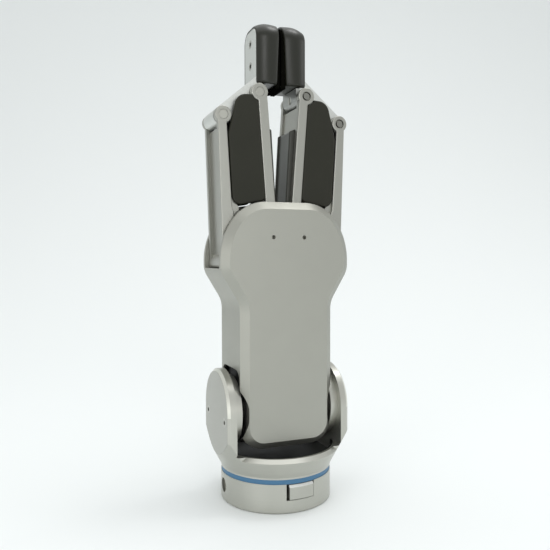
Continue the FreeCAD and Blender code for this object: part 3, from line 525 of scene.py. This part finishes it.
def moulded_plastic(name, colour, roughness, grain, depth, **constants):
    """Spark-eroded mould texture: small leathery cells with a satin surface."""
    made = Finish(name, colour, roughness, **constants)
    cells = made.cells(grain)
    clouds = made.noise(30 * grain)
    made.tint(0.4 * clouds + 0.3 * cells, shaded(colour, 0.72))
    made.rough(roughness - 0.06 + 0.12 * clouds)
    made.bump(cells, depth, strength=0.5)
    return made.material


def sintered_bronze():
    """Oil-filled bronze: speckled grains with dark pores."""
    colour = srgb(184, 148, 92)
    made = Finish("sintered_bronze", colour, roughness=0.4, metallic=1.0)
    grain = made.noise(0.25 * MM, detail=3.0)
    made.tint(grain.above(0.6), shaded(colour, 0.5))
    made.rough(0.34 + 0.15 * grain)
    made.bump(grain, depth=0.01 * MM, strength=0.4)
    return made.material


def solder_mask():
    """Green board with fine tracks showing through the mask."""
    made = Finish("solder_mask", srgb(28, 92, 52), roughness=0.35)
    x, _, z = made.axes()
    weave = (x * (math.pi / (0.8 * MM))).wave() * (z * (math.pi / (3.1 * MM))).wave()
    tracks = weave.above(0.35)
    made.tint(tracks, srgb(40, 118, 70))
    made.bump(tracks, depth=0.03 * MM, strength=0.5)
    return made.material


def gold_plate():
    """Thin gold plating with a faint haze."""
    colour = srgb(222, 184, 104)
    made = Finish("gold_plate", colour, roughness=0.22, metallic=1.0)
    haze = made.noise(0.6 * MM)
    made.tint(0.4 * haze, shaded(colour, 0.8))
    made.rough(0.18 + 0.12 * haze)
    return made.material


# Surfaces

def shell(name, points, outward=1):
    """Mesh from rows of closed loops [row, place on loop, xyz]; outward -1 turns the faces round."""
    rows, columns = points.shape[:2]
    first, second = np.meshgrid(np.arange(rows - 1), np.arange(columns), indexing="ij")
    following = (second + 1) % columns
    quads = np.stack([first * columns + second, first * columns + following,
                      (first + 1) * columns + following, (first + 1) * columns + second], axis=-1)
    mesh = bpy.data.meshes.new(name)
    mesh.from_pydata(points.reshape(-1, 3).tolist(), [], quads.reshape(-1, 4)[:, ::outward].tolist())
    mesh.polygons.foreach_set("use_smooth", np.ones(len(mesh.polygons), dtype=bool))
    merge_ends(mesh)
    mesh.set_sharp_from_angle(angle=SHARP_ANGLE)
    piece = bpy.data.objects.new(name, mesh)
    bpy.context.scene.collection.objects.link(piece)
    return piece


def surface(name, points, body, finish, outward=1):
    """Shell that rides on a body and has the finish of a slot."""
    piece = shell(name, points, outward)
    piece.data.materials.append(finish)
    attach(piece, body)
    return piece


def carve(piece, cutters):
    """Takes the cutters' space out of a piece and removes the cutters."""
    for cutter in cutters:
        cut = piece.modifiers.new(cutter.name, "BOOLEAN")
        cut.operation = "DIFFERENCE"
        cut.solver = "EXACT"
        cut.object = cutter
    carved = bpy.data.meshes.new_from_object(piece.evaluated_get(bpy.context.evaluated_depsgraph_get()))
    piece.modifiers.clear()
    piece.data = carved
    carved.set_sharp_from_angle(angle=SHARP_ANGLE)
    for cutter in cutters:
        bpy.data.objects.remove(cutter)


def merge_ends(mesh):
    """Joins the points of end rows that fall together, so both ends are closed."""
    shape = bmesh.new()
    shape.from_mesh(mesh)
    bmesh.ops.remove_doubles(shape, verts=shape.verts, dist=MERGE_DISTANCE)
    bmesh.ops.dissolve_degenerate(shape, edges=shape.edges, dist=SLIVER_WIDTH)
    shape.to_mesh(mesh)
    shape.free()


def with_ends(points):
    """Adds a row at each end with every point at that row's middle."""
    first = np.repeat(points[:1].mean(axis=1, keepdims=True), points.shape[1], axis=1)
    last = np.repeat(points[-1:].mean(axis=1, keepdims=True), points.shape[1], axis=1)
    return np.concatenate([first, points, last])


def coil(low, high, turns, wire):
    """Wire of a spring along y: a helix whose rise eases at both ends, x = r cos a, z = r sin a,
    with a ring of the wire's radius round each point, in the plane of the radius and y."""
    radius = (high.x - low.x) / 2 - wire
    share = np.linspace(0, 1, COIL_ROWS)
    angle = 2 * np.pi * turns * share
    eased = share - np.sin(2 * np.pi * share) / (2 * np.pi)
    rise = low.y + wire + (high.y - low.y - 2 * wire) * eased
    ring = np.linspace(0, 2 * np.pi, WIRE_COLUMNS, endpoint=False)
    reach = radius + wire * np.cos(ring)[None, :]
    x = (low.x + high.x) / 2 + reach * np.cos(angle)[:, None]
    z = (low.z + high.z) / 2 + reach * np.sin(angle)[:, None]
    y = rise[:, None] + wire * np.sin(ring)[None, :]
    return with_ends(np.stack([x, y, z], axis=-1))


def threaded_rod(low, high, sizes):
    """Rod along z: plain shoulder, then r = R - depth (1 - cos(n (a - 2 pi z / lead))) / 2 for n starts."""
    shoulder = (high.x - low.x) / 2
    step = low.z + sizes.shoulder_length
    edge = sizes.thread_depth
    plain = np.array([low.z, low.z + edge, step - edge, step])
    height = np.concatenate([plain, np.linspace(step, high.z - edge, THREAD_ROWS), [high.z]])
    angle = np.linspace(0, 2 * np.pi, THREAD_COLUMNS, endpoint=False)
    turn = angle[None, :] - 2 * np.pi * height[:, None] / sizes.thread_lead
    cut = (1 - np.cos(sizes.thread_starts * turn)) / 2
    radius = sizes.thread_radius - sizes.thread_depth * cut
    radius[:len(plain)] = np.array([shoulder - edge, shoulder, shoulder, shoulder - edge])[:, None]
    radius[-1] = sizes.thread_radius - sizes.thread_depth
    x = radius * np.cos(angle)[None, :]
    y = radius * np.sin(angle)[None, :]
    z = np.repeat(height[:, None], len(angle), axis=1)
    return with_ends(np.stack([x, y, z], axis=-1))


def grooved_pad(low, high, facing, sizes):
    """Pad carried up z: each row is a flat loop whose half-width follows the rounded outline, and whose
    gripping face sinks by depth max(0, cos(2 pi z / pitch))^4, which fades near its sides and ends."""
    arch = sizes.pad_arch
    corner = sizes.pad_corner
    bend = np.linspace(0, np.pi / 2, PAD_CORNER_ROWS)
    foot = low.z + corner * (1 - np.cos(bend))
    top = high.z - sizes.pad_drop
    crown = top - arch * (1 - np.sin(bend))
    height = np.concatenate([foot, np.linspace(foot[-1], crown[0], PAD_ROWS)[1:-1], crown])
    wide = (high.y - low.y) / 2
    half = np.full(len(height), wide)
    half[:PAD_CORNER_ROWS] = wide - corner * (1 - np.sin(bend))
    half[-PAD_CORNER_ROWS:] = wide - arch * (1 - np.cos(bend))
    edge = sizes.pad_edge
    thick = high.x - low.x
    across = np.concatenate([[-1], np.linspace(-1, 1, PAD_FACE_COLUMNS), [1, 1, -1]])
    inset = np.concatenate([[0], np.full(PAD_FACE_COLUMNS, edge), [0, 0, 0]])
    level = np.concatenate([[edge], np.zeros(PAD_FACE_COLUMNS), [edge, thick, thick]])
    y = (low.y + high.y) / 2 + across[None, :] * (half[:, None] - inset[None, :])
    wave = np.maximum(np.cos(2 * np.pi * (height - low.z) / sizes.groove_pitch), 0) ** GROOVE_POWER
    sides = np.clip((half[:, None] - np.abs(y) - 2 * edge) / edge, 0, 1)
    ends = np.clip(np.minimum(height - low.z, top - height) / (4 * edge) - 0.5, 0, 1)
    groove = sizes.groove_depth * (wave * ends)[:, None] * sides
    x = (low.x if facing < 0 else high.x) - facing * (level[None, :] + groove)
    z = np.repeat(height[:, None], len(across), axis=1)
    return with_ends(np.stack([x, y, z], axis=-1))


def arched_loops(half, top, bottom, crown, foot):
    """Loops in y and z, one for each entry: four quarter circles with straight runs between them,
    of radius foot at the lower corners and crown at the upper ones."""
    bend = np.linspace(0, np.pi / 2, ARCH_CORNER_COLUMNS)
    arcs = ((-1, bottom + foot, foot, np.pi), (1, bottom + foot, foot, 1.5 * np.pi),
            (1, top - crown, crown, 0), (-1, top - crown, crown, 0.5 * np.pi))
    y = [side * (half - r)[:, None] + r[:, None] * np.cos(start + bend) for side, _, r, start in arcs]
    z = [middle[:, None] + r[:, None] * np.sin(start + bend) for _, middle, r, start in arcs]
    return np.concatenate(y, axis=1), np.concatenate(z, axis=1)


def crowned_tip(low, high, facing, sizes):
    """Tip carried along x from its rim to the plate: each row is an arched loop, drawn in by
    swell t^2 with t = 0 at the fullest row and 1 at the grip side or plate, and by rounded rims."""
    edge = sizes.tip_edge
    bend = np.linspace(0, np.pi / 2, TIP_RIM_ROWS)
    share = np.linspace(0, 1, TIP_ROWS)
    lead = edge * (1 - np.cos(bend))
    drawn = edge * (1 - np.sin(bend))
    outer = max(abs(low.x), abs(high.x))
    thick = outer - sizes.tip_rim_high
    along = np.concatenate([lead[:-1], edge + (thick - 2 * edge) * share, thick - lead[-2::-1]]) / thick
    rims = np.concatenate([drawn[:-1], np.zeros(len(share)), drawn[-2::-1]])
    reach = np.clip((along - sizes.tip_fullest) / (1 - sizes.tip_fullest), 0, 1) ** 2
    grip = np.clip(1 - along / sizes.tip_fullest, 0, 1) ** 2
    side_in = rims + sizes.tip_grip_swell * grip + sizes.tip_side_swell * reach
    top_in = rims + sizes.tip_brow_swell * grip + sizes.tip_top_swell * reach
    foot = np.full(len(along), sizes.tip_foot)
    half = (high.y - low.y) / 2 - side_in
    crown = sizes.tip_crown - sizes.crown_fall * top_in
    y, z = arched_loops(half, high.z - top_in, low.z + rims, crown, foot)
    rise = (z - low.z) / (high.z - low.z)
    rim = sizes.tip_rim_low + (sizes.tip_rim_high - sizes.tip_rim_low) * rise
    x = -facing * (rim + (outer - rim) * along[:, None])
    return with_ends(np.stack([x, y, z], axis=-1))


def cutter(near, far, facing, half, top, bottom, crown, foot):
    """Prism along x between two distances from the middle, with one arched loop."""
    ends = np.ones(2)
    y, z = arched_loops(half * ends, top * ends, bottom * ends, crown * ends, foot * ends)
    x = -facing * np.repeat(np.array([[near], [far]]), y.shape[1], axis=1)
    return shell("cutter", with_ends(np.stack([x, y, z], axis=-1)), -facing)


# Operators

class FinishFrame(bpy.types.Operator):
    """Gives every solid of the frame the finish of its material slot, or one of its own"""
    bl_idname = "gripper.finish_frame"
    bl_label = "Finish the solids"

    def execute(self, context):
        finishes = context.scene.gripper_finishes
        by_slot = self.slot_finishes(finishes)
        by_node = self.node_finishes(finishes)
        for row in frame["record"]["subparts"]:
            materials = frame["nodes"][row["node"]].data.materials
            materials.clear()
            materials.append(by_node.get(row["node"], by_slot[row["material_slot"]]))
        return {"FINISHED"}

    def slot_finishes(self, finishes):
        return {
            "anodised": blasted_aluminium(
                "blasted_aluminium", finishes.blasted_colour, finishes.grain_size, roughness=0.42),
            "bright_anodised": blasted_aluminium(
                "linkage_aluminium", finishes.linkage_colour, finishes.grain_size, roughness=0.3),
            "machined": machined_aluminium(finishes),
            "steel": ground_steel(finishes),
            "shield_plastic": moulded_plastic(
                "satin_shield", finishes.shield_colour, roughness=0.5, grain=0.5 * MM, depth=0.03 * MM,
                Specular_IOR_Level=0.25),
            "guard_plastic": rimmed_guard(finishes),
            # Painted shade: dark liners put in the dish and side pockets where there is only shade.
            "liner_rubber": moulded_plastic(
                "shade_liner", finishes.shade_liner_colour, roughness=0.5, grain=0.6 * MM, depth=0.01 * MM,
                Specular_IOR_Level=0.22),
            "tip_rubber": moulded_plastic(
                "fingertip_rubber", finishes.tip_colour, roughness=0.31, grain=0.7 * MM, depth=0.004 * MM,
                Specular_IOR_Level=0.4),
            "pad_rubber": moulded_plastic(
                "grip_rubber", finishes.pad_colour, roughness=0.9, grain=0.6 * MM, depth=0.03 * MM,
                Specular_IOR_Level=0.0),
            "blue_ring": moulded_plastic(
                "seal_plastic", finishes.seal_colour, roughness=0.45, grain=0.5 * MM, depth=0.01 * MM),
            "contact_plastic": moulded_plastic(
                "contact_nylon", srgb(40, 40, 42), roughness=0.5, grain=0.5 * MM, depth=0.02 * MM),
            "motor_can": moulded_plastic(
                "motor_paint", srgb(60, 60, 64), roughness=0.4, grain=0.4 * MM, depth=0.01 * MM),
            "bronze": sintered_bronze(),
            "board": solder_mask(),
            "gold": gold_plate(),
        }

    def node_finishes(self, finishes):
        finger = finger_aluminium(finishes)
        pin = headed_steel(finishes)
        by_node = {"side_set_screw": black_oxide(), "latch_button": button_aluminium(finishes)}
        for side, _ in SIDES:
            by_node[side + "_finger"] = finger
            by_node[side + "_inner_pin"] = pin
            by_node[side + "_outer_pin"] = pin
        return by_node


class WindSpring(bpy.types.Operator):
    """Winds the latch spring that pushes the button out"""
    bl_idname = "gripper.wind_spring"
    bl_label = "Wind the latch spring"

    def execute(self, context):
        sizes = context.scene.gripper_sizes
        low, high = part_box("latch_spring")
        points = coil(low, high, sizes.spring_turns, sizes.spring_wire)
        spring = surface("latch_coil", points, "base", bpy.data.materials["ground_steel"])
        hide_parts("latch_spring")
        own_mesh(spring)
        return {"FINISHED"}


class CutThread(bpy.types.Operator):
    """Cuts the steep thread of the lead screw"""
    bl_idname = "gripper.cut_thread"
    bl_label = "Cut the lead screw"

    def execute(self, context):
        points = threaded_rod(*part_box("lead_screw"), context.scene.gripper_sizes)
        screw = surface("threaded_screw", points, "screw", bpy.data.materials["ground_steel"])
        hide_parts("lead_screw")
        return {"FINISHED"}


class MouldPads(bpy.types.Operator):
    """Moulds the grooved grip pads of both fingers"""
    bl_idname = "gripper.mould_pads"
    bl_label = "Mould the grip pads"

    def execute(self, context):
        sizes = context.scene.gripper_sizes
        rubber = bpy.data.materials["grip_rubber"]
        for side, facing in SIDES:
            points = grooved_pad(*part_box(side + "_grip_pad"), facing, sizes)
            pad = surface(side + "_grooved_pad", points, side + "_finger", rubber, -facing)
            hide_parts(side + "_grip_pad")
        return {"FINISHED"}


class MouldTips(bpy.types.Operator):
    """Moulds the crowned rubber tips round the finger plates and grip pads"""
    bl_idname = "gripper.mould_tips"
    bl_label = "Mould the fingertips"

    def execute(self, context):
        sizes = context.scene.gripper_sizes
        rubber = bpy.data.materials["fingertip_rubber"]
        for side, facing in SIDES:
            low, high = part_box(side + "_fingertip")
            points = crowned_tip(low, high, facing, sizes)
            tip = surface(side + "_crowned_tip", points, side + "_finger", rubber, -facing)
            carve(tip, self.recesses(side, facing, low, high, sizes))
            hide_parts(side + "_fingertip")
        return {"FINISHED"}

    def recesses(self, side, facing, low, high, sizes):
        """Spaces for the grip pad, the finger's plate with its thick foot, and the two tip screws."""
        _, pad_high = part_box(side + "_grip_pad")
        _, finger_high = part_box(side + "_finger")
        screw_low, screw_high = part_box(side + "_tip_screws")
        play = sizes.recess_play
        below = low.z - sizes.plate_foot
        outer = max(abs(low.x), abs(high.x))
        outside = 2 * outer
        floor = min(abs(low.x), abs(high.x)) + play
        plate = outer - sizes.plate_thickness - play
        half = pad_high.y + play
        pad_top = pad_high.z - sizes.pad_drop + play
        plate_top = finger_high.z + play
        foot_top = low.z + sizes.plate_foot + play
        cutters = [
            cutter(0, floor, facing, half, pad_top, below, sizes.pad_arch + play, play),
            cutter(plate, outside, facing, half, plate_top, below, sizes.plate_arch + play, play),
            cutter(plate, outside, facing, finger_high.y + play, foot_top, below, play, play),
        ]
        hole = sizes.screw_shank + play
        screw_end = min(abs(screw_low.x), abs(screw_high.x)) - play
        for middle in (screw_low.z + sizes.screw_head, screw_high.z - sizes.screw_head):
            cutters.append(cutter(screw_end, outside, facing, hole, middle + hole, middle - hole, hole, hole))
        return cutters


class BuildStudio(bpy.types.Operator):
    """Builds the pale floor, the soft lights and the camera"""
    bl_idname = "gripper.build_studio"
    bl_label = "Build the studio"

    def execute(self, context):
        studio = context.scene.gripper_studio
        self.build_floor(context, studio)
        self.build_lights(context)
        self.build_camera(context, studio)
        return {"FINISHED"}

    def build_floor(self, context, studio):
        """Sheet that runs level under the gripper and curves up behind it in a quarter circle,
        as rows across the view, turned with the camera."""
        bend = np.linspace(0, math.pi / 2, FLOOR_BEND_ROWS)
        level = np.concatenate([FLOOR_FRONT, FLOOR_RUN + FLOOR_BEND * np.sin(bend)])
        rise = np.concatenate([np.zeros(len(FLOOR_FRONT)), FLOOR_BEND * (1 - np.cos(bend))])
        wide = np.linspace(-FLOOR_HALF_WIDTH, FLOOR_HALF_WIDTH, FLOOR_COLUMNS)
        grid_y, grid_x = np.meshgrid(level, wide, indexing="ij")
        grid_z, _ = np.meshgrid(rise, wide, indexing="ij")
        turn = studio.camera_azimuth
        along = np.cos(turn) * grid_x - np.sin(turn) * grid_y
        away = np.sin(turn) * grid_x + np.cos(turn) * grid_y
        points = np.stack([along, away, grid_z], axis=-1)
        rows, columns = points.shape[:2]
        first, second = np.meshgrid(np.arange(rows - 1), np.arange(columns - 1), indexing="ij")
        corner = first * columns + second
        quads = np.stack([corner, corner + 1, corner + columns + 1, corner + columns], axis=-1)
        mesh = bpy.data.meshes.new("studio_floor")
        mesh.from_pydata(points.reshape(-1, 3).tolist(), [], quads.reshape(-1, 4).tolist())
        mesh.polygons.foreach_set("use_smooth", np.ones(len(mesh.polygons), dtype=bool))
        paper = Finish("floor_paper", studio.floor_colour, roughness=0.6)
        paper.tint(0.08 * paper.noise(30 * MM), shaded(studio.floor_colour, 0.97))
        mesh.materials.append(paper.material)
        floor = bpy.data.objects.new("studio_floor", mesh)
        context.scene.collection.objects.link(floor)

    def build_lights(self, context):
        """Even sky and soft square lamps that the camera doesn't see."""
        world = bpy.data.worlds.new("studio_sky")
        world.use_nodes = True
        sky = next(n for n in world.node_tree.nodes if n.type == "BACKGROUND")
        sky.inputs["Color"].default_value = SKY_COLOUR
        sky.inputs["Strength"].default_value = SKY_STRENGTH
        context.scene.world = world
        for name, place, aim, side, power in LAMPS:
            lamp = bpy.data.lights.new(name, "AREA")
            lamp.size = side
            lamp.energy = power
            holder = bpy.data.objects.new(name, lamp)
            holder.location = place
            holder.visible_camera = False
            facing = Vector(aim) - Vector(place)
            holder.rotation_euler = facing.to_track_quat("-Z", "Y").to_euler()
            context.scene.collection.objects.link(holder)

    def build_camera(self, context, studio):
        """Camera at the studio's azimuth and height, looking down by its pitch and turned by its roll."""
        turn = studio.camera_azimuth
        drop = studio.camera_pitch
        away = Vector((-math.sin(turn) * math.cos(drop), math.cos(turn) * math.cos(drop), -math.sin(drop)))
        right = Vector((math.cos(turn), math.sin(turn), 0))
        up = right.cross(away)
        roll = studio.camera_roll
        tilted_right = math.cos(roll) * right + math.sin(roll) * up
        tilted_up = math.cos(roll) * up - math.sin(roll) * right
        lens = bpy.data.cameras.new("photo_camera")
        lens.sensor_width = SENSOR_WIDTH
        lens.lens = studio.camera_lens
        lens.clip_start = NEAREST_SEEN
        lens.clip_end = FARTHEST_SEEN
        camera = bpy.data.objects.new("photo_camera", lens)
        pose = Matrix((tilted_right, tilted_up, -away)).transposed().to_4x4()
        level = studio.camera_distance
        pose.translation = (math.sin(turn) * level, -math.cos(turn) * level, studio.camera_height)
        camera.matrix_world = pose
        context.scene.collection.objects.link(camera)
        context.scene.camera = camera
        context.scene.view_settings.view_transform = "Standard"


class GripperPanel(bpy.types.Panel):
    """Lists the steps that dress the gripper and their settings"""
    bl_idname = "VIEW3D_PT_gripper"
    bl_label = "Gripper"
    bl_space_type = "VIEW_3D"
    bl_region_type = "UI"
    bl_category = "Gripper"

    def draw(self, context):
        for operator in OPERATORS:
            self.layout.operator(operator.bl_idname)
        for group_name in GROUPS:
            group = getattr(context.scene, group_name)
            for name in group.__annotations__:
                self.layout.prop(group, name)


# Registration

GROUPS = {
    "gripper_finishes": GripperFinishes,
    "gripper_sizes": GripperSizes,
    "gripper_studio": GripperStudio,
}
OPERATORS = (FinishFrame, WindSpring, CutThread, MouldPads, MouldTips, BuildStudio)
CLASSES = (*GROUPS.values(), *OPERATORS, GripperPanel)


def register():
    for made in CLASSES:
        bpy.utils.register_class(made)
    for name, group in GROUPS.items():
        setattr(bpy.types.Scene, name, bpy.props.PointerProperty(type=group))


def unregister():
    for name in GROUPS:
        delattr(bpy.types.Scene, name)
    for made in reversed(CLASSES):
        bpy.utils.unregister_class(made)


def main():
    register()
    bpy.ops.gripper.finish_frame()
    bpy.ops.gripper.wind_spring()
    bpy.ops.gripper.cut_thread()
    bpy.ops.gripper.mould_pads()
    bpy.ops.gripper.mould_tips()
    bpy.ops.gripper.build_studio()


if __name__ == "__main__":
    main()
